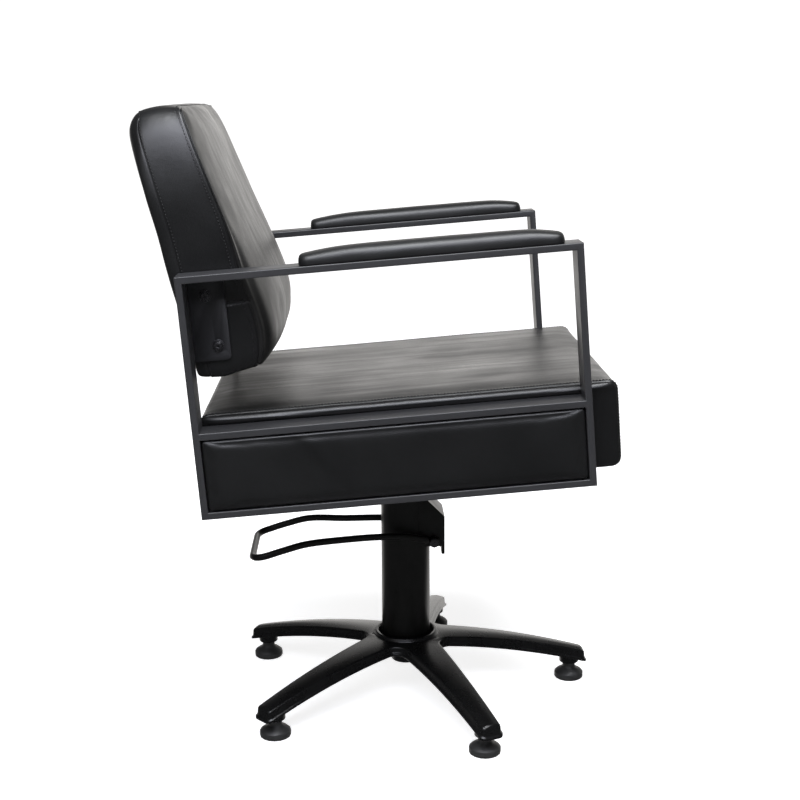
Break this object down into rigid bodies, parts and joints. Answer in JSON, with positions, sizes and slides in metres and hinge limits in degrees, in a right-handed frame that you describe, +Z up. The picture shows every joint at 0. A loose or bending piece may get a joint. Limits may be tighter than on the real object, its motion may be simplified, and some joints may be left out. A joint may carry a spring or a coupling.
{
  "type": "styling chair",
  "caption": "Hydraulic salon styling chair: upholstered seat and back between flat-bar side frames with arm pads, on a pump column with a foot lever and a star base on glides.",
  "frame": {"origin": "centre of the chair's outer box, on the floor", "axes": "+X the way the sitter faces, +Y the sitter's left, +Z up"},
  "size_m": [0.6912, 0.6, 0.9677],
  "materials": {
    "frame_powder_coat": "satin dark grey powder coat",
    "black_casting": "black coating, semi-gloss",
    "bright_steel": "ground steel",
    "black_hardware": "black oxide, satin",
    "black_plastic": "moulded black plastic",
    "black_leather": "fine-grained black upholstery leather, semi-gloss",
    "plywood": "raw plywood"
  },
  "bodies": {
    "base": {"star_base": "black_casting", "glide_foot_1": "black_plastic", "glide_foot_2": "black_plastic", "glide_foot_3": "black_plastic", "glide_foot_4": "black_plastic", "glide_foot_5": "black_plastic", "glide_stem_1": "bright_steel", "glide_stem_2": "bright_steel", "glide_stem_3": "bright_steel", "glide_stem_4": "bright_steel", "glide_stem_5": "bright_steel", "thrust_washer": "bright_steel"},
    "swivel": {"ram_post": "bright_steel", "ram_nut": "bright_steel"},
    "lift": {"column_tube": "black_casting", "lever_bracket": "black_casting", "gland_ring": "bright_steel", "pressure_cylinder": "bright_steel", "pump_block": "bright_steel", "mounting_bolt_1": "black_hardware", "mounting_bolt_2": "black_hardware", "mounting_bolt_3": "black_hardware", "mounting_bolt_4": "black_hardware", "arm_pad_screw_right_1": "black_hardware", "arm_pad_screw_right_2": "black_hardware", "arm_pad_screw_left_1": "black_hardware", "arm_pad_screw_left_2": "black_hardware", "backrest_bolt_right_1": "black_hardware", "backrest_bolt_right_2": "black_hardware", "backrest_bolt_left_1": "black_hardware", "backrest_bolt_left_2": "black_hardware", "backrest_washer_right_1": "black_hardware", "backrest_washer_right_2": "black_hardware", "backrest_washer_left_1": "black_hardware", "backrest_washer_left_2": "black_hardware", "mounting_plate": "frame_powder_coat", "cross_rail_rear": "frame_powder_coat", "cross_rail_front": "frame_powder_coat", "side_frame_right": "frame_powder_coat", "side_frame_left": "frame_powder_coat", "backrest_bracket_right": "frame_powder_coat", "backrest_bracket_left": "frame_powder_coat", "seat_cushion": "black_leather", "backrest_cushion": "black_leather", "side_panel_right": "black_leather", "side_panel_left": "black_leather", "arm_pad_right": "black_leather", "arm_pad_left": "black_leather", "seat_board": "plywood", "backrest_board": "plywood", "side_panel_board_right": "plywood", "side_panel_board_left": "plywood", "arm_pad_base_right": "plywood", "arm_pad_base_left": "plywood"},
    "lever": {"pump_lever": "black_casting", "lever_shaft": "black_hardware"},
    "plunger": {"pump_plunger": "bright_steel"}
  },
  "joints": [
    {"name": "seat_swivel", "type": "hinge", "parent": "base", "child": "swivel", "pos_m": [0.0386, 0, 0.088], "axis": [0, 0, 1], "continuous": true},
    {"name": "seat_lift", "type": "slide", "parent": "swivel", "child": "lift", "axis": [0, 0, 1], "range_m": [0, 0.13]},
    {"name": "pump_stroke", "type": "hinge", "parent": "lift", "child": "lever", "pos_m": [0.0841, 0, 0.265], "axis": [0, -1, 0], "range_deg": [0, 14], "stiffness_Nm_per_rad": 6, "springref_deg": -17.19},
    {"name": "plunger_stroke", "type": "slide", "parent": "lift", "child": "plunger", "axis": [-1, 0, 0], "range_m": [0, 0.0049]}
  ],
  "couplings": [
    {"joint": "plunger_stroke", "follows": "pump_stroke", "m_per_rad": 0.01987}
  ]
}
